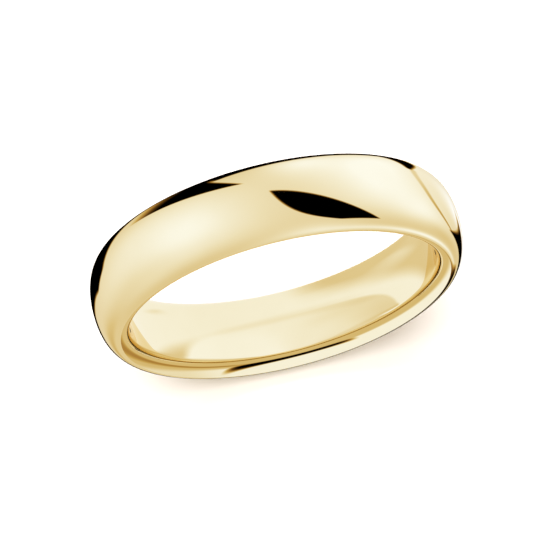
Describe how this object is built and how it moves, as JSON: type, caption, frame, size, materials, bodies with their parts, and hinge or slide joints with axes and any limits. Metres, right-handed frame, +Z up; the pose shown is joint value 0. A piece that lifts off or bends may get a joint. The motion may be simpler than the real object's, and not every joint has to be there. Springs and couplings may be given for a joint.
{
  "type": "wedding band",
  "caption": "Plain domed finger ring with rounded rims and a comfort-fit hole, polished yellow gold.",
  "frame": {"origin": "centre of the finger hole, midway between the two rims", "axes": "+Y along the axis of the finger hole; the ring stands on its edge with +Z up, and +X runs across it"},
  "size_m": [0.0228, 0.005, 0.0228],
  "materials": {
    "yellow_gold": "mirror polished"
  },
  "bodies": {
    "root": {"band": "yellow_gold"}
  },
  "joints": []
}
